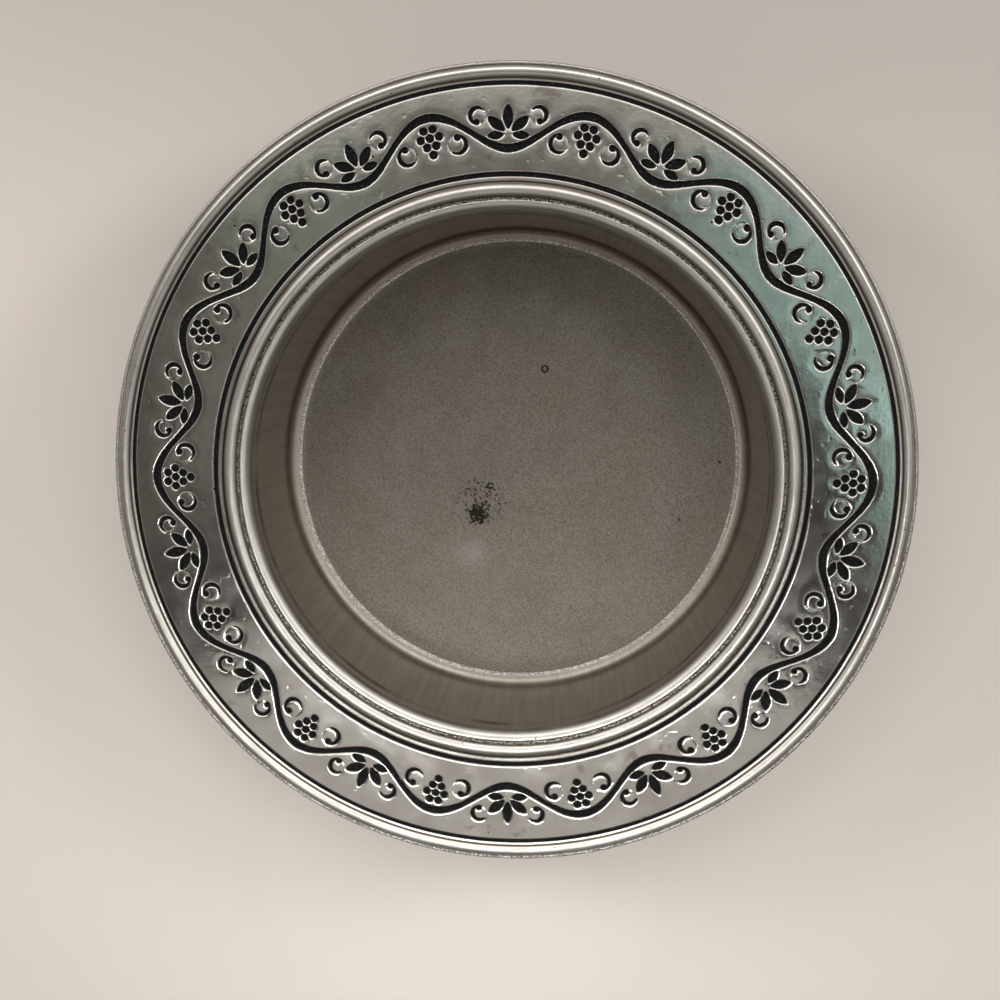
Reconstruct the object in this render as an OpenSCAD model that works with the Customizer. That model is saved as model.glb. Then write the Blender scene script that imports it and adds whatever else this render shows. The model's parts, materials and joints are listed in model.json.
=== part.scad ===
// Wine bottle coaster: a one-piece cast metal dish, polished on its rim.
// A round well holds the foot of the bottle. Around it runs a broad flat band between two
// moulded beads, with a vine border sunk into the band. The border and the two ring grooves
// that frame it are filled with matt black.
// Millimetres. +Z is up, and the origin is the centre of the ring that the coaster stands on.

/* [Well] */
// Diameter of the flat floor that the bottle stands on
floor_d = 92; // [80:1:110]
// Depth of the well, from the rim's flat band down to the floor
well_depth = 26.5; // [18:0.5:40]
// How far the mouth of the well stands outside the edge of the floor
wall_lean = 5.6; // [4.6:0.2:9]
// Radius of the corner between the floor and the wall
well_corner_r = 2; // [1:0.1:3]
// Height of the cast line that rings the floor
floor_line_h = 0.2; // [0.1:0.05:0.5]
// Width of the cast line that rings the floor
floor_line_w = 0.35; // [0.2:0.05:0.8]

/* [Casting] */
// Thickness of the well's floor
floor_t = 3.4; // [2.4:0.1:6]
// Thickness of the well's wall
wall_t = 3; // [2:0.1:5]
// Thickness of the rim below its flat band
rim_t = 3.2; // [2.6:0.1:5]
// Radius inside the corner between the rim's underside and the wall
rim_fillet_r = 4; // [2:0.5:7]
// Radius of the round corner at the bottom of the wall
base_corner_r = 4; // [2:0.5:6]
// Radius of the lower corner of the rim's edge
edge_corner_r = 1; // [0.5:0.1:1.4]

/* [Foot] */
// Width of the flat ring that the coaster stands on
foot_ring_w = 9; // [5:0.5:16]
// How far the middle of the base is hollowed
base_recess = 0.8; // [0.4:0.1:1.5]
// How far the side of the hollow slopes
recess_slope_w = 1.2; // [0.6:0.1:3]

/* [Inner moulding] */
// Radius of the roll that rounds the mouth of the well
shoulder_r = 2; // [1.2:0.1:3]
// How far the top of that roll lies below the band
shoulder_drop = 0.55; // [0.3:0.05:1.2]
// Width of the pitted cove between the roll and the inner bead
cove_w = 0.75; // [0.5:0.05:1.5]
// Width of the inner bead
inner_bead_w = 2.2; // [1.5:0.1:4]
// How far the inner bead stands above the band
inner_bead_rise = 0.5; // [0.2:0.05:0.9]
// Width of the small lip between the inner bead and its groove
inner_lip_w = 1.25; // [0.8:0.05:2]
// How far that lip swells
inner_lip_rise = 0.16; // [0.05:0.01:0.3]

/* [Band] */
// Width of the flat band, between its two grooves
band_w = 15.3; // [12:0.1:20]
// Width of each black groove beside the band
groove_w = 0.7; // [0.5:0.05:1.2]
// Depth of the grooves and of the border, as cast
sink_depth = 0.9; // [0.6:0.05:1.4]
// How far the black filling stays below the band
fill_drop = 0.4; // [0.2:0.05:0.5]
// Bevel on the edges of the band
band_bevel = 0.3; // [0.15:0.05:0.5]

/* [Outer moulding] */
// Width of the slope that climbs from the outer groove to the outer bead
outer_slope_w = 1; // [0.6:0.1:2]
// Width of the outer bead
outer_bead_w = 1.75; // [1.2:0.05:3]
// How far the outer bead stands above the band
outer_bead_rise = 0.5; // [0.2:0.05:0.8]
// Width of the thin roll on the rim's edge
edge_roll_w = 0.75; // [0.5:0.05:1.5]
// How far that roll lies below the band
edge_roll_drop = 0.35; // [0.1:0.05:0.6]

/* [Vine border] */
// Height of the border, across the band
border_h = 8.3; // [6:0.1:9]
// Length of one wave of the stem, along the middle of the band
wave_len = 28.8; // [26:0.1:34]
// Width of the stem at the crests of its waves
stem_w = 1.35; // [0.9:0.05:1.4]
// Greatest width of a tendril
tendril_w = 0.65; // [0.4:0.05:0.8]
// Radius of a grape
grape_r = 0.7; // [0.5:0.01:0.75]
// Gap of bare metal between neighbouring grapes
grape_gap = 0.3; // [0.2:0.01:0.4]

/* [Hidden] */
$fn = 96;

// Colours
metal_colour = "#a9a8a3";
black_colour = "#17171a";

// One overrun serves every cut
overrun = 0.05;

// Heights
floor_z = base_recess + floor_t;
band_z = floor_z + well_depth;
under_z = band_z - rim_t;
sink_z = band_z - sink_depth;
fill_z = band_z - fill_drop;
shoulder_z = band_z - shoulder_drop;

// Radii, outwards from the floor
floor_r = floor_d / 2;
corner_r = floor_r + floor_line_w;
shoulder_crest_r = floor_r + wall_lean;
bead_in_r = shoulder_crest_r + cove_w;
bead_out_r = bead_in_r + inner_bead_w;
inner_groove_r = bead_out_r + inner_lip_w;
band_in_r = inner_groove_r + groove_w;
band_out_r = band_in_r + band_w;
slope_in_r = band_out_r + groove_w;
outer_bead_in_r = slope_in_r + outer_slope_w;
outer_bead_out_r = outer_bead_in_r + outer_bead_w;
rim_r = outer_bead_out_r + edge_roll_w;
band_mid_r = (band_in_r + band_out_r) / 2;

// The wall is the straight line that touches both the corner round the floor and the shoulder
corner_z = floor_z + floor_line_h + well_corner_r;
roll_z = shoulder_z - shoulder_r;
roll_run = shoulder_crest_r - corner_r;
roll_climb = roll_z - corner_z;
wall_angle = acos((well_corner_r + shoulder_r) / norm([roll_run, roll_climb])) - atan2(roll_climb, roll_run);

// The outside of the wall is the same line, moved out by the wall's thickness
function outer_wall_r(z) =
    corner_r + (well_corner_r + wall_t) / cos(wall_angle) + (z - corner_z) * tan(wall_angle);

// Points on an arc about a centre
function arc(centre, r, from, to, steps = 5) =
    [for (i = [0 : steps]) let (a = from + (to - from) * i / steps) centre + r * [cos(a), sin(a)]];

// Points on the shallow arc that swells by rise over the chord from one point to another
function swell(from, to, rise, steps = 6) =
    let (
        chord = norm(to - from),
        r = (chord * chord / 4 + rise * rise) / (2 * rise),
        half = asin(chord / 2 / r),
        along = (to - from) / chord,
        up = [-along[1], along[0]],
        middle = (from + to) / 2
    )
    [for (i = [0 : steps]) let (a = half * (2 * i / steps - 1))
        middle + along * r * sin(a) + up * (r * cos(a) - r + rise)];

// The top of the dish, from the middle of the floor outwards
top_profile = concat(
    [[0, floor_z], [floor_r, floor_z]],
    arc([corner_r, corner_z], well_corner_r, 270, 360 - wall_angle),
    arc([shoulder_crest_r, roll_z], shoulder_r, 180 - wall_angle, 90),
    swell([shoulder_crest_r + cove_w / 5, shoulder_z - cove_w / 5], [bead_in_r, band_z - inner_lip_rise],
        -cove_w / 8, 2),
    swell([bead_in_r, band_z - inner_lip_rise], [bead_out_r, band_z - inner_lip_rise],
        inner_bead_rise + inner_lip_rise),
    swell([bead_out_r, band_z - inner_lip_rise], [inner_groove_r, band_z - inner_lip_rise],
        inner_lip_rise, 3),
    [[inner_groove_r, sink_z], [band_in_r, sink_z]],
    arc([band_in_r + band_bevel, band_z - band_bevel], band_bevel, 180, 90, 1),
    arc([band_out_r - band_bevel, band_z - band_bevel], band_bevel, 90, 0, 1),
    [[band_out_r, sink_z], [slope_in_r, sink_z]],
    swell([slope_in_r, band_z - band_bevel], [outer_bead_in_r, band_z], -outer_slope_w / 10, 2),
    swell([outer_bead_in_r, band_z], [outer_bead_out_r, band_z - edge_roll_drop], outer_bead_rise),
    arc([rim_r - edge_roll_w / 2, band_z - edge_roll_drop - edge_roll_w / 2], edge_roll_w / 2, 150, 0, 4)
);

// The underside, from the rim's edge inwards
under_fillet_z = under_z - rim_fillet_r;
under_fillet_r = outer_wall_r(under_fillet_z) + rim_fillet_r / cos(wall_angle);
base_round_r = outer_wall_r(base_corner_r) - base_corner_r / cos(wall_angle);
foot_in_r = base_round_r - foot_ring_w;
under_profile = concat(
    arc([rim_r - edge_corner_r, under_z + edge_corner_r], edge_corner_r, 360, 270, 3),
    arc([under_fillet_r, under_fillet_z], rim_fillet_r, 90, 180 - wall_angle),
    arc([base_round_r, base_corner_r], base_corner_r, 360 - wall_angle, 270),
    [[foot_in_r, 0], [foot_in_r - recess_slope_w, base_recess], [0, base_recess]]
);

// Border layout. Every second hollow of the stem holds a leaf, the others hold grapes
waves = round(360 / (wave_len / band_mid_r * 180 / PI));
wave_angle = 360 / waves;
stem_steps = 18;
stem_reach = border_h / 2 - stem_w / 2;
stem_thin_share = 0.36;

// A point of the stem's edge: the centre line waves about the middle of the band, and the
// edges stand off it to each side, less where the stem crosses the middle
function stem_edge(a, side) =
    let (
        r = band_mid_r + stem_reach * cos(waves * a),
        climb = -stem_reach * waves * sin(waves * a),
        half = stem_w / 2 * (1 - stem_thin_share * pow(sin(waves * a), 2)),
        out = [cos(a), sin(a)],
        round_way = [-sin(a), cos(a)]
    )
    r * out + side * half * (r * out - climb * round_way) / norm([r, climb]);

// Leaf: five lobes fan out from one point. Shares of the border's height
leaf_base_share = -0.12;
lobe_start_share = 0.105;
lobe_angles = [0, 50, -50, 95, -95];
lobe_len_shares = [0.52, 0.47, 0.47, 0.35, 0.35];
lobe_w_shares = [0.21, 0.2, 0.2, 0.165, 0.165];

// Grapes: the rows of a bunch, from the stem downwards
bunch_rows = [2, 3, 2, 1];
bunch_top_share = 0.165;
grape_pitch = 2 * grape_r + grape_gap;
grape_row = grape_pitch * sin(60);

// Tendril: a crescent with a ball at one tip. Shares of the border's height and of the crescent
curl_by_grapes_share = 0.21;
curl_by_leaf_share = 0.19;
curl_height_share = 0.28;
curl_beside_grapes_share = 0.58;
curl_beside_leaf_share = 0.68;
curl_shift_share = 0.6;
ball_share = 0.32;
ball_inset_share = 0.8;
ball_angle = -64;
curl_turn = 240;

module polished_metal() color(metal_colour) children();
module matt_black() color(black_colour) children();

// Places its children on the band's middle line, where the stem crests (side 1) or dips (side -1),
// with the first axis pointing away from the crest, into the hollow that it leaves
module in_hollows(side) {
    first = side > 0 ? 0 : wave_angle / 2;
    for (i = [0 : waves - 1])
        rotate(first + i * wave_angle)
            translate([band_mid_r, 0])
                rotate(side > 0 ? 180 : 0)
                    children();
}

module stem_shape() {
    count = waves * stem_steps;
    rim_points = [for (i = [0 : count - 1]) stem_edge(360 * i / count, 1)];
    well_points = [for (i = [0 : count - 1]) stem_edge(360 * i / count, -1)];
    difference() {
        polygon(rim_points);
        polygon(well_points);
    }
}

// A pointed oval that lies along the first axis, from the origin
module lobe(length, width) {
    r = (length * length / 4 + width * width / 4) / width;
    intersection() {
        translate([length / 2, width / 2 - r]) circle(r);
        translate([length / 2, r - width / 2]) circle(r);
    }
}

module leaf_shape() {
    for (i = [0 : len(lobe_angles) - 1])
        translate([leaf_base_share * border_h, 0])
            rotate(lobe_angles[i])
                translate([lobe_start_share * border_h, 0])
                    lobe(lobe_len_shares[i] * border_h, lobe_w_shares[i] * border_h);
}

module bunch_shape() {
    for (row = [0 : len(bunch_rows) - 1], i = [0 : bunch_rows[row] - 1])
        translate([row * grape_row, (i - (bunch_rows[row] - 1) / 2) * grape_pitch])
            circle(grape_r);
}

// A pair of tendrils, one to each side of the hollow
module curl_shape(r, aside) {
    ball_r = r * ball_share;
    for (way = [0, 1])
        mirror([0, way])
            translate([curl_height_share * border_h, aside])
                rotate(curl_turn) {
                    difference() {
                        circle(r);
                        translate([tendril_w * curl_shift_share, 0])
                            circle(r - tendril_w * (1 - curl_shift_share));
                    }
                    rotate(ball_angle) translate([r - ball_r * ball_inset_share, 0]) circle(ball_r);
                }
}

module leaves_shape() in_hollows(-1) leaf_shape();
module grapes_shape() in_hollows(1) translate([-bunch_top_share * border_h, 0]) bunch_shape();
module tendrils_shape() {
    in_hollows(1) curl_shape(curl_by_grapes_share * border_h, curl_beside_grapes_share * border_h);
    in_hollows(-1) curl_shape(curl_by_leaf_share * border_h, curl_beside_leaf_share * border_h);
}

// What the black fills: the sunk shape, up to just below the band
module filling() {
    matt_black()
        translate([0, 0, sink_z])
            linear_extrude(fill_z - sink_z)
                children();
}

module ring(inner_r, width) {
    difference() {
        circle(inner_r + width);
        circle(inner_r);
    }
}

module sunk() {
    translate([0, 0, sink_z])
        linear_extrude(sink_depth + overrun)
            children();
}

module cast_dish() {
    polished_metal()
        difference() {
            rotate_extrude() polygon(concat(top_profile, under_profile));
            sunk() stem_shape();
            sunk() leaves_shape();
            sunk() grapes_shape();
            sunk() tendrils_shape();
        }
}

module outer_groove_black() filling() ring(band_out_r, groove_w);
module inner_groove_black() filling() ring(inner_groove_r, groove_w);
module vine_stem_black() filling() stem_shape();
module vine_leaf_black() filling() leaves_shape();
module grape_black() filling() grapes_shape();
module tendril_black() filling() tendrils_shape();

cast_dish();
outer_groove_black();
inner_groove_black();
vine_stem_black();
vine_leaf_black();
grape_black();
tendril_black();
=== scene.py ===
import json
import math
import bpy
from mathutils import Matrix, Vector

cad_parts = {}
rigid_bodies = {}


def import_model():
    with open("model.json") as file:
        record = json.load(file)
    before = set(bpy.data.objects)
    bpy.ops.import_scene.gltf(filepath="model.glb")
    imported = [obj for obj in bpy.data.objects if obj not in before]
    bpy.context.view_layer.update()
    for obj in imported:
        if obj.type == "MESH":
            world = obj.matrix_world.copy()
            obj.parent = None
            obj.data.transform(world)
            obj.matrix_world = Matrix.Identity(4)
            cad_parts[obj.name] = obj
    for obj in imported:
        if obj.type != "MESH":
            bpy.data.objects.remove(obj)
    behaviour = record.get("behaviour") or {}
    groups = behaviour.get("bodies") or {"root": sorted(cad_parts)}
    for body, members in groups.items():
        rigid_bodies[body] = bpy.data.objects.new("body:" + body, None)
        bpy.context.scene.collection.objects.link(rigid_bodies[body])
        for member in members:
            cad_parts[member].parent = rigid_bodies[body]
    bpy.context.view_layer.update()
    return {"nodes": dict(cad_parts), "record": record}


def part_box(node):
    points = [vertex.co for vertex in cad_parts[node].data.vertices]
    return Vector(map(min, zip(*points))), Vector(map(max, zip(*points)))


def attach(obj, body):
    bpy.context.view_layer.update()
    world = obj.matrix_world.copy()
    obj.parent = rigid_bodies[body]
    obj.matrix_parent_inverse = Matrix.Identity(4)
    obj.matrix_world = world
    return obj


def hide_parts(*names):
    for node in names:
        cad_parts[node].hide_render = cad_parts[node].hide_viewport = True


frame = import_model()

from types import SimpleNamespace

import bpy
import numpy as np
from bpy.props import FloatProperty, FloatVectorProperty, IntProperty, PointerProperty
from mathutils import Matrix, Vector

bl_info = {
    "name": "Wine Bottle Coaster",
    "version": (1, 0, 0),
    "blender": (4, 5, 0),
    "location": "3D View > Sidebar > Coaster",
    "description": "Dresses a cast metal wine bottle coaster and lights it",
    "category": "Object",
}

MM = 0.001

# Places that the frame gives: the rim, the two black grooves, the filling and the well's floor
RIM_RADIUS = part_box("cast_dish")[1].x
BAND_IN_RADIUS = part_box("inner_groove_black")[1].x
SLOPE_IN_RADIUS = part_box("outer_groove_black")[1].x
SINK_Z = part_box("vine_stem_black")[0].z
FILL_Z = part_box("vine_stem_black")[1].z
SEAT_Z = next(m["pos_m"][2] for m in frame["record"]["mounts"] if m["name"] == "bottle_seat")
FILL_NODES = sorted(name for name in frame["nodes"] if name.endswith("_black"))


def linear(hex_colour):
    """A colour written as sRGB hex, as the linear values that the shaders take, with an alpha of 1."""
    parts = [int(hex_colour[i : i + 2], 16) / 255 for i in (1, 3, 5)]
    return [c / 12.92 if c <= 0.04045 else ((c + 0.055) / 1.055) ** 2.4 for c in parts] + [1.0]


def length(name, description, default):
    """A length property, in metres."""
    return FloatProperty(name=name, description=description, default=default, unit="LENGTH", precision=5)


def share(name, description, default):
    """A size that is given as a share of the border's height."""
    return FloatProperty(name=name, description=description, default=default, subtype="FACTOR", min=0, max=1)


def strength(name, description, default):
    """A brightness property, where 1 is white."""
    return FloatProperty(name=name, description=description, default=default, min=0)


def watts(name, description, default):
    """A lamp's power, in watts."""
    return FloatProperty(name=name, description=description, default=default, min=0, precision=4, unit="POWER")


def colour(name, description, default):
    """A colour property, from its sRGB hex value."""
    return FloatVectorProperty(
        name=name, description=description, default=linear(default), size=4, subtype="COLOR", min=0, max=1
    )


class CoasterSizes(bpy.types.PropertyGroup):
    floor_radius: length("Floor radius", "Radius of the well's flat floor", 46 * MM)
    wall_lean: length("Wall lean", "How far the mouth of the well stands outside the floor", 5.6 * MM)
    well_corner: length("Well corner", "Radius of the corner round the floor", 2 * MM)
    floor_line_height: length("Floor line height", "Height of the cast line round the floor", 0.2 * MM)
    floor_line_width: length("Floor line width", "Width of the cast line round the floor", 0.35 * MM)
    wall_thickness: length("Wall thickness", "Thickness of the well's wall", 3 * MM)
    rim_thickness: length("Rim thickness", "Thickness of the rim below its band", 3.2 * MM)
    rim_fillet: length("Rim fillet", "Radius between the rim's underside and the wall", 4 * MM)
    base_corner: length("Base corner", "Radius of the corner at the bottom of the wall", 4 * MM)
    edge_corner: length("Edge corner", "Radius of the lower corner of the rim's edge", 1 * MM)
    foot_width: length("Foot width", "Width of the flat ring that the coaster stands on", 9 * MM)
    base_recess: length("Base recess", "How far the middle of the base is hollowed", 0.8 * MM)
    recess_slope: length("Recess slope", "How far the side of the hollow slopes", 1.2 * MM)
    shoulder_radius: length("Shoulder radius", "Radius of the roll at the mouth of the well", 2 * MM)
    shoulder_drop: length("Shoulder drop", "How far the roll lies below the band", 0.55 * MM)
    cove_width: length("Cove width", "Width of the pitted cove beside the roll", 0.75 * MM)
    inner_bead_width: length("Inner bead width", "Width of the inner bead", 2.2 * MM)
    inner_bead_rise: length("Inner bead rise", "How far the inner bead swells", 0.5 * MM)
    lip_width: length("Lip width", "Width of the lip between the inner bead and its groove", 1.25 * MM)
    lip_rise: length("Lip rise", "How far the lip swells", 0.16 * MM)
    groove_width: length("Groove width", "Width of each black groove", 0.7 * MM)
    fill_drop: length("Filling drop", "How far the black filling lies below the band", 0.4 * MM)
    band_bevel: length("Band bevel", "Bevel on the edges of the band", 0.3 * MM)
    outer_slope: length("Outer slope", "Width of the slope beside the outer groove", 1 * MM)
    outer_bead_width: length("Outer bead width", "Width of the outer bead", 1.75 * MM)
    outer_bead_rise: length("Outer bead rise", "How far the outer bead swells", 0.34 * MM)
    edge_roll_width: length("Edge roll width", "Width of the thin roll on the rim's edge", 0.75 * MM)
    edge_roll_drop: length("Edge roll drop", "How far the edge roll lies below the band", 0.35 * MM)
    border_height: length("Border height", "Height of the vine border", 8.3 * MM)
    stem_share: share("Stem width", "Width of the stem at the crests of its waves", 0.163)
    tendril_share: share("Tendril width", "Greatest width of a tendril", 0.078)
    grape_share: share("Grape radius", "Radius of a grape", 0.084)
    grape_gap_share: share("Grape gap", "Bare metal between neighbouring grapes", 0.037)
    waves: IntProperty(name="Waves", description="Number of waves of the stem", default=14, min=3)
    worn_edge: length("Worn edge", "How far polishing has pulled down the metal beside the sunk shapes", 0.1 * MM)
    worn_width: length("Worn width", "How far that reaches on to the band", 0.28 * MM)
    sag: length("Sag", "How far the metal sinks in a wider ring about the sunk shapes", 0.018 * MM)
    sag_width: length("Sag width", "How far that ring reaches", 1.3 * MM)
    wall_slope: length("Sunk wall slope", "How far the side of a sunk shape leans in", 0.16 * MM)


class CoasterColours(bpy.types.PropertyGroup):
    polished: colour("Polished metal", "The rim's polished alloy", "#c3c0bb")
    satin: colour("Satin metal", "Where handling has dulled the rim", "#a8a299")
    wall: colour("Well's wall", "The wall's satin metal", "#c8c2b8")
    blasted: colour("Blasted metal", "The well's floor", "#6d675f")
    # Tarnish is real in stains and clouds, and also paints shade in the cove, folds and well corner, and a
    # painted reflection under the roll
    tarnish_and_painted_light: colour("Tarnish", "Brown tarnish in the corners", "#6f6155")
    # The pits' dark colour also paints shade in the rim's folds
    dark_dirt_and_shade: colour("Pits", "Dirt in the pits", "#16140f")
    cast: colour("Cast metal", "The underside, as cast", "#a3a09b")
    black: colour("Black filling", "Matt antiquing", "#0a0a0b")
    table: colour("Table", "The surface that the coaster stands on", "#b8b0a9")
    # The front and back colours paint light and shade on the table: paler where the light is near, darker far
    # from it
    table_front_painted_light: colour("Table front", "The same surface, nearer the light", "#b8b2ab")
    table_back_painted_shade: colour("Table back", "The same surface, far from the light", "#9e9892")
    window: colour("Window", "Tint of the window's light", "#fffdfa")


class CoasterStage(bpy.types.PropertyGroup):
    camera_at: FloatVectorProperty(
        name="Camera", description="Where the camera stands", size=3, subtype="TRANSLATION", unit="LENGTH",
        default=(14.17 * MM, 31.16 * MM, 254.52 * MM),
    )
    camera_aim: FloatVectorProperty(
        name="Camera aim", description="The point that the camera looks at", size=3, subtype="TRANSLATION",
        unit="LENGTH", default=(-3.32 * MM, -7.91 * MM, 4.2 * MM),
    )
    lens: FloatProperty(name="Lens", description="Focal length", default=43.2, unit="CAMERA")
    sensor: FloatProperty(name="Sensor", description="Width of the camera's sensor", default=36, unit="CAMERA")
    window_strength: strength("Window", "Brightness of the window, where 1 is white", 4)
    overhead_front: strength("Overhead, front", "Brightness of the ceiling above the dish's front", 0.4)
    overhead_back: strength("Overhead, back", "Brightness of the ceiling above the dish's back", 0.1)
    room_strength: strength("Room", "Strength of the room's light", 1)
    side_watts: watts("Side lamps", "Power of each of the two side lamps", 2.4)
    ring_watts: watts("Ring lamps", "Power of each lamp of the half ring by the lens", 0.0105)


# Shapes in numbers. Angles are in degrees, and points are rows of x and y or r and z


def arc(centre, radius, start, end, steps):
    turn = np.radians(np.linspace(start, end, steps + 1))
    return np.column_stack((centre[0] + radius * np.cos(turn), centre[1] + radius * np.sin(turn)))


def line(start, end, steps):
    return np.linspace(start, end, steps + 1)


def swell(start, end, rise, steps):
    """The shallow arc that swells by rise over the chord from start to end."""
    start, end = np.array(start), np.array(end)
    chord = np.linalg.norm(end - start)
    radius = (chord * chord / 4 + rise * rise) / (2 * rise)
    along = (end - start) / chord
    up = np.array((-along[1], along[0]))
    turn = math.asin(chord / 2 / radius) * np.linspace(-1, 1, steps + 1)[:, None]
    return (start + end) / 2 + along * radius * np.sin(turn) + up * (radius * np.cos(turn) - radius + rise)


def rough(points, cell, seed):
    """Smooth noise from -1 to 1, with about one bump to each cell, the same on every run."""
    side = 32
    table = np.random.default_rng(seed).uniform(-1, 1, (side, side, side))
    scaled = np.asarray(points) / cell
    low = np.floor(scaled).astype(int)
    part = scaled - low
    part = part * part * (3 - 2 * part)
    total = np.zeros(scaled.shape[:-1])
    for corner in np.ndindex(2, 2, 2):
        weight = np.prod(np.where(corner, part, 1 - part), axis=-1)
        x, y, z = np.moveaxis((low + corner) % side, -1, 0)
        total += weight * table[x, y, z]
    return total


def uneven(points, layers):
    """The sum of a few layers of noise, each with its height, the size of its bumps and its seed."""
    return sum(height * rough(points, bump, seed) for height, bump, seed in layers)


def derived(s):
    """The radii and heights that follow from the sizes, outwards from the floor."""
    d = SimpleNamespace()
    d.band_z = FILL_Z + s.fill_drop
    d.under_z = d.band_z - s.rim_thickness
    d.shoulder_z = d.band_z - s.shoulder_drop
    d.corner_r = s.floor_radius + s.floor_line_width
    d.shoulder_r = s.floor_radius + s.wall_lean
    d.bead_in_r = d.shoulder_r + s.cove_width
    d.bead_out_r = d.bead_in_r + s.inner_bead_width
    d.inner_groove_r = d.bead_out_r + s.lip_width
    d.band_in_r = BAND_IN_RADIUS
    d.slope_in_r = SLOPE_IN_RADIUS
    d.band_out_r = d.slope_in_r - s.groove_width
    d.band_mid_r = (d.band_in_r + d.band_out_r) / 2
    d.outer_bead_in_r = d.slope_in_r + s.outer_slope
    d.outer_bead_out_r = d.outer_bead_in_r + s.outer_bead_width
    d.rim_r = d.outer_bead_out_r + s.edge_roll_width
    d.corner_z = SEAT_Z + s.floor_line_height + s.well_corner
    d.roll_z = d.shoulder_z - s.shoulder_radius
    run = d.shoulder_r - d.corner_r
    climb = d.roll_z - d.corner_z
    lean = math.acos((s.well_corner + s.shoulder_radius) / math.hypot(run, climb)) - math.atan2(climb, run)
    d.wall_angle = math.degrees(lean)
    d.wall_angle_cos = math.cos(lean)
    d.wall_angle_tan = math.tan(lean)
    return d


# Finishes of the dish, in the order of its material slots
POLISHED, MOULDED, SATIN, BLASTED, AS_CAST, BLACKED = range(6)


def top_stretches(s, d):
    """The dish's top from the middle of the floor to the inner groove, as (finish, points)."""
    lip_z = d.band_z - s.lip_rise
    roll_start = 180 - d.wall_angle
    # The lip is flat and only its edge over the groove is rounded, a little less than the band's bevel
    round_r = s.band_bevel * 0.9
    lip_round = arc((d.inner_groove_r - round_r, lip_z - round_r), round_r, 90, 0, 8)
    # The cove starts a step below the roll's top, so that a crease shows between the two
    cove_step = s.cove_width / 8
    return [
        (BLASTED, line((0, SEAT_Z), (s.floor_radius, SEAT_Z), 30)),
        (BLASTED, line((s.floor_radius, SEAT_Z), (d.corner_r, SEAT_Z + s.floor_line_height), 3)),
        (SATIN, arc((d.corner_r, d.corner_z), s.well_corner, 270, 360 - d.wall_angle, 12)),
        (SATIN, line(
            arc((d.corner_r, d.corner_z), s.well_corner, 0, 360 - d.wall_angle, 1)[-1],
            arc((d.shoulder_r, d.roll_z), s.shoulder_radius, roll_start, 90, 1)[0], 12,
        )),
        (MOULDED, arc((d.shoulder_r, d.roll_z), s.shoulder_radius, roll_start, 90, 16)),
        (MOULDED, swell(
            (d.shoulder_r + cove_step, d.shoulder_z - cove_step), (d.bead_in_r, lip_z), -s.cove_width / 3, 8,
        )),
        (MOULDED, swell((d.bead_in_r, lip_z), (d.bead_out_r, lip_z), s.inner_bead_rise, 20)),
        (MOULDED, line((d.bead_out_r, lip_z), lip_round[0], 4)),
        (MOULDED, lip_round),
        (BLACKED, line(lip_round[-1], (d.inner_groove_r, SINK_Z), 4)),
    ]


def rim_stretches(s, d):
    """From the outer groove over the rim's edge and back under the dish to the middle of its base."""
    edge_z = d.band_z - s.edge_roll_drop
    edge_r = s.edge_roll_width / 2
    fillet_z = d.under_z - s.rim_fillet

    def outside(z):
        corner = (s.well_corner + s.wall_thickness) / d.wall_angle_cos
        return d.corner_r + corner + (z - d.corner_z) * d.wall_angle_tan

    fillet_r = outside(fillet_z) + s.rim_fillet / d.wall_angle_cos
    base_r = outside(s.base_corner) - s.base_corner / d.wall_angle_cos
    foot_in_r = base_r - s.foot_width
    recess_r = foot_in_r - s.recess_slope
    slope_z = d.band_z - s.band_bevel
    fillet = arc((fillet_r, fillet_z), s.rim_fillet, 90, 180 - d.wall_angle, 12)
    base_round = arc((base_r, s.base_corner), s.base_corner, 360 - d.wall_angle, 270, 12)
    under_edge = arc((d.rim_r - s.edge_corner, d.under_z + s.edge_corner), s.edge_corner, 360, 270, 8)
    roll = arc((d.rim_r - edge_r, edge_z - edge_r), edge_r, 150, 0, 14)
    return [
        (BLACKED, line((d.slope_in_r, SINK_Z), (d.slope_in_r, slope_z), 4)),
        (MOULDED, swell((d.slope_in_r, slope_z), (d.outer_bead_in_r, d.band_z), -s.outer_slope / 10, 6)),
        (MOULDED, swell((d.outer_bead_in_r, d.band_z), (d.outer_bead_out_r, edge_z), s.outer_bead_rise, 16)),
        (MOULDED, roll),
        (MOULDED, line(roll[-1], under_edge[0], 4)),
        (AS_CAST, under_edge),
        (AS_CAST, line(under_edge[-1], fillet[0], 10)),
        (AS_CAST, fillet),
        (AS_CAST, line(fillet[-1], base_round[0], 10)),
        (AS_CAST, base_round),
        (AS_CAST, line((base_r, 0), (foot_in_r, 0), 4)),
        (AS_CAST, line((foot_in_r, 0), (recess_r, s.base_recess), 3)),
        (AS_CAST, line((recess_r, s.base_recess), (0, s.base_recess), 16)),
    ]


def turned(points, degrees):
    """Points in axes turned by an angle."""
    a = math.radians(degrees)
    x, y = points[..., 0], points[..., 1]
    return np.stack((x * math.cos(a) + y * math.sin(a), y * math.cos(a) - x * math.sin(a)), axis=-1)


def from_circle(points, centre, radius):
    """Distance outside a circle, negative inside it."""
    return np.linalg.norm(points - np.array(centre), axis=-1) - radius


def from_lobe(points, long, wide):
    """Distance outside a pointed oval that lies along x from the origin."""
    radius = (long * long + wide * wide) / 4 / wide
    off = radius - wide / 2
    return np.maximum(from_circle(points, (long / 2, -off), radius), from_circle(points, (long / 2, off), radius))


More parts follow.
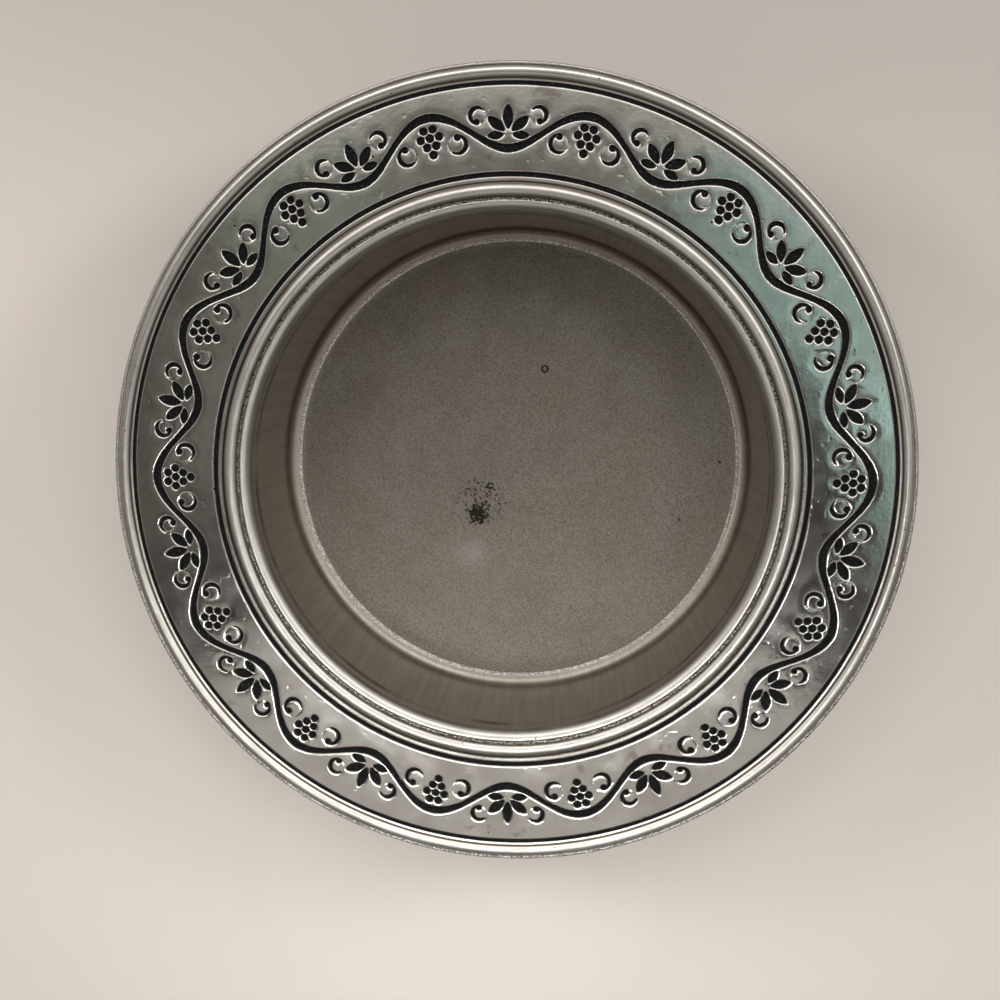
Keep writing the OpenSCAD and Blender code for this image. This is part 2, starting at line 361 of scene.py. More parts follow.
def from_leaf(points, s):
    """Distance outside a leaf: five lobes that fan out from one point."""
    base, start = -0.12 * s.border_height, 0.105 * s.border_height
    # Angle of each lobe, and its length and width as shares of the border's height. Two lobes have a twin
    lobes = ((0, 0.52, 0.21), (50, 0.47, 0.2), (95, 0.35, 0.165))
    one_side = np.stack((points[..., 0] - base, np.abs(points[..., 1])), axis=-1)
    found = [
        from_lobe(turned(one_side, angle) - (start, 0), long * s.border_height, wide * s.border_height)
        for angle, long, wide in lobes
    ]
    return np.minimum.reduce(found)


def from_bunch(points, s):
    """Distance outside a bunch of grapes, in rows of two, three, two and one."""
    radius = s.grape_share * s.border_height
    pitch = 2 * radius + s.grape_gap_share * s.border_height
    row_pitch = pitch * math.sin(math.radians(60))
    top = 0.165 * s.border_height
    found = [
        from_circle(points, (row * row_pitch - top, (i - (count - 1) / 2) * pitch), radius)
        for row, count in enumerate((2, 3, 2, 1)) for i in range(count)
    ]
    return np.minimum.reduce(found)


def from_curl(points, s, radius, beside):
    """Distance outside a pair of tendrils: each is a crescent with a ball at one tip. The crescent is what one
    circle leaves of another."""
    one_side = np.stack((points[..., 0] - 0.28 * s.border_height, np.abs(points[..., 1]) - beside), axis=-1)
    local = turned(one_side, 240)
    width = s.tendril_share * s.border_height
    crescent = np.maximum(
        from_circle(local, (0, 0), radius), -from_circle(local, (width * 0.6, 0), radius - width * 0.4)
    )
    ball = radius * 0.32
    tip = turned(np.array((radius - ball * 0.8, 0)), 64)
    return np.minimum(crescent, from_circle(local, tip, ball))


def from_stem(points, s, d):
    """Distance outside the waving stem, over the wave that is centred on angle zero."""
    turn = np.linspace(-0.6, 0.6, 301) * math.tau / s.waves
    width = s.stem_share * s.border_height
    reach = (s.border_height - width) / 2
    radius = d.band_mid_r + reach * np.cos(s.waves * turn)
    # The stem is thinnest halfway between a crest and a dip
    half = width / 2 * (1 - 0.36 * np.sin(s.waves * turn) ** 2)
    found = np.full(points.shape[:-1], np.inf)
    for r, a, h in zip(radius, turn, half):
        found = np.minimum(found, from_circle(points, (r * math.cos(a), r * math.sin(a)), h))
    return found


def border_distance(radii, turn, s, d):
    """Distance outside the border's sunk shapes, on a polar grid that covers one wave."""
    points = np.stack((np.outer(radii, np.cos(turn)), np.outer(radii, np.sin(turn))), axis=-1)
    crest = (d.band_mid_r, 0) - points
    wave_angle = 360 / s.waves
    # Radius of each pair of tendrils, and how far they stand to the side
    curl_by_grapes = (0.21 * s.border_height, 0.58 * s.border_height)
    curl_by_leaf = (0.19 * s.border_height, 0.68 * s.border_height)
    found = [from_stem(points, s, d), from_bunch(crest, s), from_curl(crest, s, *curl_by_grapes)]
    for side in (-1, 1):
        dip = turned(points, side * wave_angle / 2) - (d.band_mid_r, 0)
        found += [from_leaf(dip, s), from_curl(dip, s, *curl_by_leaf)]
    return np.minimum.reduce(found)


# Columns round the dish: the band has fine ones, and the rest has one to every few of them
WAVE_COLUMNS = 144
COARSE_STEP = 6
BAND_STEP = 0.17 * MM

# How uneven hand polishing has left the metal, as layers of noise: height, size of the bumps and seed
RAGGED_EDGE = ((0.035 * MM, 0.5 * MM, 1), (0.02 * MM, 0.22 * MM, 2))
WAVING_BAND = ((0.024 * MM, 11 * MM, 3), (0.007 * MM, 3.5 * MM, 4))
DENTED_BAND = ((1, 0.9 * MM, 5),)
WOBBLING_BRINK = ((0.035 * MM, 1.1 * MM, 6), (0.02 * MM, 0.4 * MM, 7))
DENT_DEPTH = 0.25 * MM
ROUNDED_WIDTH = 0.35 * MM
MOST_PROUD = 0.02 * MM


def band_heights(radii, turn, distance, s, d):
    """Heights of the band on its grid: flat metal, pulled down beside what is sunk into it."""
    x, y = np.outer(radii, np.cos(turn)), np.outer(radii, np.sin(turn))
    points = np.stack((x, y, np.zeros_like(x)), axis=-1)
    ragged = distance + uneven(points, RAGGED_EDGE)
    worn = 1 - np.clip(ragged / s.worn_width, 0, 1)
    sagged = 1 - np.clip(ragged / s.sag_width, 0, 1)
    outside = -s.worn_edge * worn**2 - s.sag * sagged * sagged * (3 - 2 * sagged)
    brink = s.worn_edge + s.sag
    sunk = np.clip(-ragged / s.wall_slope, 0, 1)
    inside = -brink + (SINK_Z - d.band_z + brink) * sunk
    edge = np.minimum(radii - d.band_in_r, d.band_out_r - radii)[:, None]
    rounded = -s.band_bevel * 0.35 * (1 - np.clip(edge / ROUNDED_WIDTH, 0, 1)) ** 3
    # Only the few deepest hollows of the noise show as dents
    dents = np.minimum(uneven(points, DENTED_BAND) + 0.86, 0) * DENT_DEPTH
    worked = (uneven(points, WAVING_BAND) + dents) * (ragged > 0)
    return d.band_z + np.where(ragged > 0, outside, inside) + rounded + worked


def band_rings(s, d):
    """The band as rings of points from the inner groove's bottom to the outer one's."""
    columns = WAVE_COLUMNS * s.waves
    turn = np.arange(columns) * math.tau / columns
    cell = (np.arange(WAVE_COLUMNS) - WAVE_COLUMNS // 2) * math.tau / columns
    count = round((d.band_out_r - d.band_in_r) / BAND_STEP)
    radii = np.linspace(d.band_in_r, d.band_out_r, count + 1)
    distance = np.roll(border_distance(radii, cell, s, d), -(WAVE_COLUMNS // 2), axis=1)
    heights = band_heights(radii, turn, np.tile(distance, (1, s.waves)), s, d)
    heights = np.minimum(heights, d.band_z + MOST_PROUD)
    points = np.stack((np.outer(radii, np.cos(turn)), np.outer(radii, np.sin(turn)), heights), axis=-1)
    groove_bottoms = []
    for brink in (0, -1):
        bottom = points[brink].copy()
        bottom[:, 2] = SINK_Z
        groove_bottoms.append(bottom)
        points[brink, :, 2] = d.band_z - s.band_bevel * 0.7
        wobble = uneven(points[brink], WOBBLING_BRINK) / radii[brink]
        points[brink, :, :2] *= 1 + wobble[:, None]
    return [groove_bottoms[0], *points, groove_bottoms[1]]


def ring_of(radius, z, columns):
    turn = np.arange(columns) * math.tau / columns
    return np.column_stack((radius * np.cos(turn), radius * np.sin(turn), np.full(columns, z)))


def stretch_rings(stretches, columns):
    """Rings for the stretches of a half section, and the finish of the faces that end at each ring."""
    rings, finishes = [], []
    for finish, points in stretches:
        for r, z in points:
            if rings and np.allclose((r, z), last, atol=1e-7):
                continue
            rings.append(ring_of(r, z, columns) if r > 1e-9 else np.array([[0.0, 0.0, z]]))
            finishes.append(finish)
            last = (r, z)
    return rings, finishes


def join_rings(rings, finishes):
    """A closed mesh through rings of points. Rings may differ in their number of points."""
    starts = np.cumsum([0] + [len(ring) for ring in rings])
    faces, slots = [], []
    for i in range(1, len(rings)):
        a, b = starts[i - 1], starts[i]
        m, n = len(rings[i - 1]), len(rings[i])
        if m == n:
            j = np.arange(n)
            k = (j + 1) % n
            made = np.column_stack((a + j, b + j, b + k, a + k)).tolist()
        else:
            made = fan_between(a, m, b, n)
        faces += made
        slots += [finishes[i]] * len(made)
    return np.concatenate(rings), faces, slots


def fan_between(a, m, b, n):
    """Triangles between a ring of m points from index a and one of n points from index b."""
    if m > n:
        return [face[::-1] for face in fan_between(b, n, a, m)]
    step = n // m
    made = []
    for j in range(m):
        middle = step // 2 if m > 1 else step
        here, after = a + j, a + (j + 1) % m
        fine = [b + (j * step + i) % n for i in range(step + 1)]
        made += [(here, fine[i], fine[i + 1]) for i in range(middle)]
        if m > 1:
            made.append((here, fine[middle], after))
            made += [(after, fine[i], fine[i + 1]) for i in range(middle, step)]
    return made


def build_dish(s):
    """The whole dish as one closed mesh, with a material slot for each finish."""
    d = derived(s)
    columns = WAVE_COLUMNS * s.waves // COARSE_STEP
    well, well_finishes = stretch_rings(top_stretches(s, d), columns)
    band = band_rings(s, d)
    rim, rim_finishes = stretch_rings(rim_stretches(s, d), columns)
    finishes = well_finishes + [POLISHED] * len(band) + rim_finishes
    points, faces, slots = join_rings(well + band + rim, finishes)
    mesh = bpy.data.meshes.new("polished_dish")
    mesh.from_pydata(points.tolist(), [], faces)
    mesh.polygons.foreach_set("material_index", slots)
    mesh.polygons.foreach_set("use_smooth", [True] * len(faces))
    mesh.update()
    return bpy.data.objects.new("polished_dish", mesh)


# Materials


def add(tree, kind, *values, **settings):
    """Adds a shader node with its settings and gives its outputs. The values go to its inputs in order: each is
    a number, a colour or the output that feeds it, and None leaves an input as it is."""
    node = tree.nodes.new("ShaderNode" + kind)
    for name, value in settings.items():
        setattr(node, name, value)
    for socket, value in zip([socket for socket in node.inputs if socket.enabled], values):
        if isinstance(value, bpy.types.NodeSocket):
            tree.links.new(value, socket)
        elif value is not None:
            socket.default_value = value
    return [socket for socket in node.outputs if socket.enabled]


# Settings that many nodes share
TIMES, PLUS, MINUS, OVER = ({"operation": name} for name in ("MULTIPLY", "ADD", "SUBTRACT", "DIVIDE"))
MOST = {"operation": "MAXIMUM"}
SMOOTH = {"interpolation_type": "SMOOTHSTEP"}
COLOURS = {"data_type": "RGBA"}


def new_material(name):
    """A material with only a Principled shader. Gives the material, its tree and the shader's inputs."""
    material = bpy.data.materials.new(name)
    material.use_nodes = True
    shader = material.node_tree.nodes["Principled BSDF"]
    return material, material.node_tree, shader.inputs


def in_mm(tree):
    """Places on the object, in millimetres."""
    return add(tree, "VectorMath", add(tree, "TexCoord")[3], 1 / MM, operation="SCALE")[0]


def grain(tree, place, size_mm, detail=2.0, stretch=(1, 1, 1)):
    """Noise from 0 to 1 whose lumps are about size_mm across."""
    scaled = add(tree, "Mapping", place, None, None, stretch)[0]
    return add(tree, "TexNoise", scaled, 1 / size_mm, detail)[0]


def pits(tree, place, spacing_mm, radius_mm, kept):
    """Scattered round pits: one in their middle, zero outside them. Kept is the share of cells that have one."""
    away, cell, _ = add(tree, "TexVoronoi", place, 1 / spacing_mm)
    radius = radius_mm / spacing_mm
    near = add(tree, "MapRange", away, radius * 0.5, radius, 1.0, 0.0, **SMOOTH)[0]
    chance = add(tree, "SeparateColor", cell)[0]
    return add(tree, "Math", near, add(tree, "Math", chance, kept, operation="LESS_THAN")[0], **TIMES)[0]


def spot(tree, place, centre_mm, radius_mm):
    """One soft round mark: one at its centre, zero beyond its radius."""
    away = add(tree, "VectorMath", place, centre_mm, operation="DISTANCE")[0]
    return add(tree, "MapRange", away, 0.0, radius_mm, 1.0, 0.0, **SMOOTH)[0]


def within(tree, value, start, end, soft_start, soft_end):
    """One between start and end, falling to zero over a soft stretch at each."""
    rising = add(tree, "MapRange", value, start - soft_start, start + soft_start, **SMOOTH)[0]
    falling = add(tree, "MapRange", value, end - soft_end, end + soft_end, 1.0, 0.0, **SMOOTH)[0]
    return add(tree, "Math", rising, falling, **TIMES)[0]


def turned_place(tree, place):
    """Places for marks that run round the dish: the radius, the height and the way out from the axis."""
    x, y, z = add(tree, "SeparateXYZ", place)
    flat = add(tree, "CombineXYZ", x, y)[0]
    radius = add(tree, "VectorMath", flat, operation="LENGTH")[0]
    way_x, way_y, _ = add(tree, "SeparateXYZ", add(tree, "VectorMath", flat, operation="NORMALIZE")[0])
    return radius, z, way_x, way_y


def polished_alloy(c, s, d):
    """Sand-cast aluminium alloy, linished and buffed: a soft mirror with fine scratches and gas pits.
    Below the worn edges the sides of what is sunk carry the same black as its bottom."""
    material, tree, shader = new_material("polished_cast_aluminium")
    place = in_mm(tree)
    # Small gas pits, 0.3 mm wide and about 2 mm apart, and a few of 0.6 mm
    holes = add(tree, "Math", pits(tree, place, 1.9, 0.17, 0.17), pits(tree, place, 5.2, 0.3, 0.25), **MOST)[0]
    # Fingers dull the polish in smears of about 9 mm, and it tarnishes in stains of about 4 mm
    dull = add(tree, "MapRange", grain(tree, place, 9, 4), 0.35, 0.7, 0.0, 0.4, **SMOOTH)[0]
    tone = add(tree, "Mix", dull, c.polished, c.satin, **COLOURS)[0]
    stain = add(tree, "MapRange", grain(tree, place, 4, 5), 0.6, 0.72, 0.0, 0.35, **SMOOTH)[0]
    tone = add(tree, "Mix", stain, tone, c.tarnish_and_painted_light, **COLOURS)[0]
    tone = add(tree, "Mix", add(tree, "Math", holes, 0.96, **TIMES)[0], tone, c.dark_dirt_and_shade, **COLOURS)[0]
    # The black starts just under the worn edge, along a line that wanders by a few hundredths of a millimetre
    brink = (d.band_z - s.worn_edge - s.sag) / MM
    depth = add(tree, "Math", brink, add(tree, "SeparateXYZ", place)[2], **MINUS)[0]
    ragged = add(tree, "MapRange", grain(tree, place, 0.35, 2), 0.3, 0.7, -0.03, 0.03, **SMOOTH)[0]
    depth = add(tree, "Math", depth, ragged, **PLUS)[0]
    paint = add(tree, "MapRange", depth, -0.01, 0.03, **SMOOTH)[0]
    tree.links.new(add(tree, "Mix", paint, tone, c.black, **COLOURS)[0], shader["Base Color"])
    tree.links.new(add(tree, "Math", 1.0, paint, **MINUS)[0], shader["Metallic"])
    shine = add(tree, "MapRange", grain(tree, place, 5, 4), 0.35, 0.7, 0.1, 0.16, **SMOOTH)[0]
    matt = add(tree, "Math", paint, 0.8, **TIMES)[0]
    tree.links.new(add(tree, "Math", shine, matt, **MOST)[0], shader["Roughness"])
    # Buffing leaves waves of 3 mm and of 0.9 mm. Its scratches are a few hundredths of a millimetre wide, too
    # fine to show, so they are drawn 0.3 mm wide, 6 to 8 mm long and much shallower than the pits
    scratches = grain(tree, place, 0.5, 2, (0.06, 1.6, 1))
    across = grain(tree, place, 0.5, 2, (1.5, 0.08, 1))
    solid = add(tree, "Math", 1.0, holes, **MINUS)[0]
    normal = add(tree, "Bump", None, 0.12 * MM, None, solid)[0]
    normal = add(tree, "Bump", None, 0.008 * MM, None, grain(tree, place, 3, 3), normal)[0]
    normal = add(tree, "Bump", None, 0.006 * MM, None, grain(tree, place, 0.9, 4), normal)[0]
    normal = add(tree, "Bump", None, 0.002 * MM, None, scratches, normal)[0]
    normal = add(tree, "Bump", None, 0.0015 * MM, None, across, normal)[0]
    tree.links.new(normal, shader["Normal"])
    return material


def moulded_alloy(c, d):
    """The same alloy, turned to a satin along the beads and buffed on the lip beside the groove, with sand pits
    in the cove and painted shade that darkens the cove and the folds."""
    material, tree, shader = new_material("turned_cast_aluminium")
    place = in_mm(tree)
    radius, _, way_x, way_y = turned_place(tree, place)
    bead_out, outer_in, outer_out = (r / MM for r in (d.bead_out_r, d.outer_bead_in_r, d.outer_bead_out_r))
    slope_in = d.slope_in_r / MM

    # Turning lines run round the dish. Real ones are under 0.1 mm apart, and these are 0.3 mm apart to show
    slow_x = add(tree, "Math", way_x, 2.0, **TIMES)[0]
    slow_y = add(tree, "Math", way_y, 2.0, **TIMES)[0]
    lines = grain(tree, add(tree, "CombineXYZ", radius, slow_x, slow_y)[0], 0.3, 3)

    # Sand of about 0.4 mm has left its pits in the cove and on the rim's edge, most of them in front, where they
    # darken the edge as painted shade, and gas pits 0.4 mm wide lie about 2 mm apart
    cove = within(tree, radius, d.shoulder_r / MM + 0.02, d.bead_in_r / MM - 0.02, 0.12, 0.2)
    edge = add(tree, "MapRange", radius, outer_out - 0.1, outer_out + 0.15, **SMOOTH)[0]
    # Painted shade: the edge's pits are thicker in front, so that its front is darker
    few = add(tree, "Math", edge, add(tree, "MapRange", way_y, -0.5, 0.4, 0.85, 0.25)[0], **TIMES)[0]
    sand = add(tree, "MapRange", grain(tree, place, 0.38, 3), 0.47, 0.6, **SMOOTH)[0]
    pitted = add(tree, "Math", add(tree, "Math", cove, few, **MOST)[0], sand, **TIMES)[0]
    holes = add(tree, "Math", pits(tree, place, 1.8, 0.19, 0.32), pitted, **MOST)[0]

    # Painted shade darkens the folds: the crease by the outer groove, the rim's line and the foot of the lip
    crease = within(tree, radius, slope_in + 0.35, slope_in + 0.8, 0.12, 0.15)
    rim_line = within(tree, radius, outer_out - 0.1, outer_out + 0.04, 0.08, 0.08)
    lip_line = within(tree, radius, bead_out - 0.05, bead_out + 0.45, 0.1, 0.15)
    folds = add(tree, "Math", add(tree, "Math", crease, rim_line, **MOST)[0], lip_line, **MOST)[0]
    worn = add(tree, "MapRange", grain(tree, place, 6, 3), 0.35, 0.7, 0.0, 0.4, **SMOOTH)[0]
    tone = add(tree, "Mix", worn, c.polished, c.satin, **COLOURS)[0]
    # Painted shade darkens the cove too, in the tarnish colour
    cove_and_crease_shade = add(tree, "Math", add(tree, "Math", cove, 0.6, **TIMES)[0], folds, **MOST)[0]
    tone = add(tree, "Mix", cove_and_crease_shade, tone, c.tarnish_and_painted_light, **COLOURS)[0]
    # The folds also get painted shade in the pits' dark colour, beside the real dirt in the pits
    crease_shade_and_pit_dirt = add(tree, "Math", add(tree, "Math", folds, 0.5, **TIMES)[0],
                add(tree, "Math", holes, 0.85, **TIMES)[0], **MOST)[0]
    tone = add(tree, "Mix", crease_shade_and_pit_dirt, tone, c.dark_dirt_and_shade, **COLOURS)[0]
    tree.links.new(tone, shader["Base Color"])
    shader["Metallic"].default_value = 1

    # Duller on the mouldings inside the lip and where hands hold the rim in front, and brighter on the lip
    satin = add(tree, "MapRange", lines, 0.3, 0.7, 0.26, 0.36, **SMOOTH)[0]
    softer = add(tree, "MapRange", radius, bead_out - 0.2, bead_out, 0.06, 0.0, **SMOOTH)[0]
    satin = add(tree, "Math", satin, softer, **PLUS)[0]
    on_rim = add(tree, "MapRange", radius, outer_in, outer_in + 0.3, **SMOOTH)[0]
    in_front = add(tree, "MapRange", way_y, -0.7, -0.1, 0.14, 0.0, **SMOOTH)[0]
    satin = add(tree, "Math", satin, add(tree, "Math", on_rim, in_front, **TIMES)[0], **PLUS)[0]
    lip = within(tree, radius, bead_out, d.inner_groove_r / MM, 0.1, 0.3)
    buffed = add(tree, "Math", lip, 0.1, **TIMES)[0]
    tree.links.new(add(tree, "Math", satin, buffed, **MINUS)[0], shader["Roughness"])
    solid = add(tree, "Math", 1.0, holes, **MINUS)[0]
    normal = add(tree, "Bump", None, 0.09 * MM, None, solid)[0]
    normal = add(tree, "Bump", None, 0.0015 * MM, None, lines, normal)[0]
    tree.links.new(normal, shader["Normal"])
    return material


def satin_alloy(c, d):
    """The alloy as turned inside the well and dulled by use: satin, streaked down the wall."""
    material, tree, shader = new_material("satin_cast_aluminium")
    place = in_mm(tree)
    _, z, way_x, way_y = turned_place(tree, place)
    # Fine scratches from bottles run down the wall. They are drawn 1.1 mm wide, far coarser than real ones, so
    # that they show. The wall's mean radius of 48 mm turns the way out from the axis into a length round it
    fast_x = add(tree, "Math", way_x, 48.0, **TIMES)[0]
    fast_y = add(tree, "Math", way_y, 48.0, **TIMES)[0]
    downwards = add(tree, "CombineXYZ", add(tree, "Math", z, 0.05, **TIMES)[0], fast_x, fast_y)[0]
    streaks = grain(tree, downwards, 1.1, 4)
    cloud = grain(tree, place, 12, 4)
    # Painted in the tarnish colour: a brown band under the roll in patches of about 12 mm, a painted reflection,
    # and painted shade in the corner above the floor, heavier at the back
    low = add(tree, "MapRange", z, SEAT_Z / MM + 0.6, SEAT_Z / MM + 5, 1.0, 0.0, **SMOOTH)[0]
    high = within(tree, z, d.roll_z / MM - 2.7, d.roll_z / MM - 1.15, 0.5, 0.25)
    patchy = add(tree, "MapRange", cloud, 0.35, 0.65, **SMOOTH)[0]
    shade_heavier_behind = add(tree, "MapRange", way_y, -0.6, 0.5, 0.7, 1.2)[0]
    painted_reflection_and_corner_shade = add(tree, "Math", add(tree, "Math", high, patchy, **TIMES)[0],
                  add(tree, "Math", low, shade_heavier_behind, **TIMES)[0], **MOST)[0]
    dull = add(tree, "MapRange", streaks, 0.35, 0.7, 0.0, 0.2, **SMOOTH)[0]
    tone = add(tree, "Mix", dull, c.wall, c.blasted, **COLOURS)[0]
    # The painted reflection under the roll and the painted shade in the corner go on in the tarnish colour
    tone = add(tree, "Mix", add(tree, "Math", painted_reflection_and_corner_shade, 0.7, **TIMES)[0], tone, c.tarnish_and_painted_light, **COLOURS)[0]
    tree.links.new(tone, shader["Base Color"])
    shader["Metallic"].default_value = 1
    tree.links.new(add(tree, "MapRange", cloud, 0.3, 0.7, 0.42, 0.5, **SMOOTH)[0], shader["Roughness"])
    normal = add(tree, "Bump", None, 0.02 * MM, None, grain(tree, place, 0.5, 3))[0]
    normal = add(tree, "Bump", None, 0.02 * MM, None, streaks, normal)[0]
    tree.links.new(normal, shader["Normal"])
    return material


def blasted_alloy(c, s):
    """The alloy left as it was blasted: an even fine grain, mottled by handling, with a patch of porosity."""
    material, tree, shader = new_material("blasted_cast_aluminium")
    place = in_mm(tree)
    radius, _, way_x, _ = turned_place(tree, place)
    # Blasting grit leaves dimples of about 0.1 mm. They are drawn at 0.34 mm, so that they show
    sand = grain(tree, place, 0.34, 2)
    cloud = grain(tree, place, 13, 5)
    # A patch of porosity with pores of about 0.5 mm: a core, a wider ring about it and a small second core
    core = spot(tree, place, (-8.0, -11.2, SEAT_Z / MM), 3.2)
    around = spot(tree, place, (-7.4, -8.2, SEAT_Z / MM), 9.5)
    second = spot(tree, place, (-5.4, -4.7, SEAT_Z / MM), 1.7)
    patch = add(tree, "Math", add(tree, "Math", core, 0.3, **TIMES)[0],
                add(tree, "Math", around, 0.15, **TIMES)[0], **PLUS)[0]
    patch = add(tree, "Math", patch, add(tree, "Math", second, 0.15, **TIMES)[0], **PLUS)[0]
    specked = add(tree, "Math", grain(tree, place, 0.5, 3), patch, **PLUS)[0]
    porous = add(tree, "MapRange", specked, 0.69, 0.77, **SMOOTH)[0]
    # A small ring mark and two specks
    from_mark = add(tree, "VectorMath", place, (6.0, 19.7, SEAT_Z / MM), operation="DISTANCE")[0]
    ring_mark = within(tree, from_mark, 0.45, 0.8, 0.15, 0.15)
    specks = add(tree, "Math", spot(tree, place, (42.5, 0.6, SEAT_Z / MM), 0.5),
                 spot(tree, place, (34.4, -11.7, SEAT_Z / MM), 0.5), **MOST)[0]
    marks = add(tree, "Math", add(tree, "Math", ring_mark, specks, **MOST)[0], porous, **MOST)[0]
    # The cast line round the floor, worn bright in grains, wider at -X
    widest = add(tree, "MapRange", way_x, -1.0, 0.5, 0.46, 0.24)[0]
    line_start = add(tree, "Math", s.floor_radius / MM, widest, **MINUS)[0]
    edge_line = add(tree, "Math", radius, line_start, operation="GREATER_THAN")[0]
    sparkle = add(tree, "MapRange", grain(tree, place, 0.34, 2), 0.4, 0.62, 0.2, 0.9, **SMOOTH)[0]
    edge_line = add(tree, "Math", edge_line, sparkle, **TIMES)[0]
    # Handling clears the metal in clouds of about 13 mm, and tarnish browns it in clouds of about 15 mm
    worn = add(tree, "MapRange", cloud, 0.35, 0.68, **SMOOTH)[0]
    tone = add(tree, "Mix", add(tree, "Math", worn, 0.16, **TIMES)[0], c.blasted, c.satin, **COLOURS)[0]
    brown = add(tree, "MapRange", grain(tree, place, 15, 4), 0.45, 0.68, 0.0, 0.3, **SMOOTH)[0]
    tone = add(tree, "Mix", brown, tone, c.tarnish_and_painted_light, **COLOURS)[0]
    dark_grains = add(tree, "MapRange", sand, 0.35, 0.68, 0.0, 0.34, **SMOOTH)[0]
    tone = add(tree, "Mix", dark_grains, tone, c.dark_dirt_and_shade, **COLOURS)[0]
    tone = add(tree, "Mix", add(tree, "Math", marks, 0.92, **TIMES)[0], tone, c.dark_dirt_and_shade, **COLOURS)[0]
    scuff = add(tree, "Math", spot(tree, place, (-9.5, -19.5, SEAT_Z / MM), 5.0), 0.1, **TIMES)[0]
    tone = add(tree, "Mix", scuff, tone, c.polished, **COLOURS)[0]
    tree.links.new(add(tree, "Mix", edge_line, tone, c.polished, **COLOURS)[0], shader["Base Color"])
    shader["Metallic"].default_value = 1
    tree.links.new(add(tree, "MapRange", cloud, 0.3, 0.7, 0.44, 0.54, **SMOOTH)[0], shader["Roughness"])
    solid = add(tree, "Math", 1.0, marks, **MINUS)[0]
    normal = add(tree, "Bump", None, 0.12 * MM, None, solid)[0]
    normal = add(tree, "Bump", None, 0.08 * MM, None, sand, normal)[0]
    tree.links.new(normal, shader["Normal"])
    return material


def cast_alloy(c):
    """The alloy as it left the sand: dull and finely grained, never buffed."""
    material, tree, shader = new_material("sand_cast_aluminium")
    place = in_mm(tree)
    # Moulding sand of about 0.3 mm, drawn at 0.5 mm to show, clouds of 16 mm and pits 0.6 mm wide
    sand = grain(tree, place, 0.5, 3)
    cloud = grain(tree, place, 16, 4)
    worn = add(tree, "MapRange", cloud, 0.35, 0.65, 0.0, 0.4, **SMOOTH)[0]
    tone = add(tree, "Mix", worn, c.cast, c.blasted, **COLOURS)[0]
    holes = pits(tree, place, 3.4, 0.28, 0.2)
    tree.links.new(add(tree, "Mix", holes, tone, c.dark_dirt_and_shade, **COLOURS)[0], shader["Base Color"])
    shader["Metallic"].default_value = 1
    tree.links.new(add(tree, "MapRange", cloud, 0.3, 0.7, 0.38, 0.5, **SMOOTH)[0], shader["Roughness"])
    normal = add(tree, "Bump", None, 0.1 * MM, None, add(tree, "Math", 1.0, holes, **MINUS)[0])[0]
    normal = add(tree, "Bump", None, 0.06 * MM, None, sand, normal)[0]
    tree.links.new(normal, shader["Normal"])
    return material


def matt_antiquing(c):
    """Matt black antiquing paint that has dried in the recesses: rough, with a few bright grains."""
    material, tree, shader = new_material("matt_black_antiquing")
    place = in_mm(tree)
    # The dried paint is rough at well under 0.1 mm, too fine to show, and is drawn at 0.28 mm
    sand = grain(tree, place, 0.28, 3)
    bright = add(tree, "MapRange", grain(tree, place, 0.3, 1), 0.66, 0.76, 0.0, 0.3, **SMOOTH)[0]
    tree.links.new(add(tree, "Mix", bright, c.black, c.satin, **COLOURS)[0], shader["Base Color"])
    shader["Roughness"].default_value = 0.8
    shader["Specular IOR Level"].default_value = 0.15
    tree.links.new(add(tree, "Bump", None, 0.1 * MM, None, sand)[0], shader["Normal"])
    return material


class COASTER_OT_dish(bpy.types.Operator):
    """Build the cast dish with its mouldings, sunk vine border and finishes"""

    bl_idname = "coaster.dish"
    bl_label = "Cast dish"

    def execute(self, context):
        sizes, colours = context.scene.coaster_sizes, context.scene.coaster_colours
        d = derived(sizes)
        if abs(d.rim_r - RIM_RADIUS) > 0.05 * MM:
            raise RuntimeError("the rim's radius differs from the frame's")
        dish = build_dish(sizes)
        context.scene.collection.objects.link(dish)
        finishes = (
            polished_alloy(colours, sizes, d), moulded_alloy(colours, d), satin_alloy(colours, d),
            blasted_alloy(colours, sizes), cast_alloy(colours), matt_antiquing(colours),
        )
        for material in finishes:
            dish.data.materials.append(material)
        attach(dish, "root")
        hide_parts("cast_dish")
        return {"FINISHED"}


class COASTER_OT_filling(bpy.types.Operator):
    """Give the black fillings of the grooves and the border their matt finish"""

    bl_idname = "coaster.filling"
    bl_label = "Black fillings"

    def execute(self, context):
        material = matt_antiquing(context.scene.coaster_colours)
        for name in FILL_NODES:
            mesh = frame["nodes"][name].data
            mesh.materials.clear()
            mesh.materials.append(material)
        return {"FINISHED"}


def glowing(tint, brightness):
    """The linear values of a colour times a brightness, with an alpha of 1."""
    return [value * brightness for value in tint[:3]] + [1]


# The ceiling by sectors, as seen from the place that the band mirrors to the camera: the angles of start and end
# and how soft each is, in degrees, and the colours for the band's inner and outer edge
CEILING_SECTORS = (
    (-147, -33, 8, 2, "#c6c2bd", "#cfcbc6"),
    (55, 128, 10, 14, "#807d78", "#b0aca7"),
    (112, 145, 10, 8, "#8f968c", "#8f968c"),
    (145, 166, 8, 8, "#8b8882", "#6b6863"),
    (166, 215, 8, 12, "#8b8882", "#5b5854"),
    (24, 60, 5, 8, "#7f918c", "#a9cdc8"),
    (-28, 24, 2, 5, "#3f3231", "#86928f"),
)


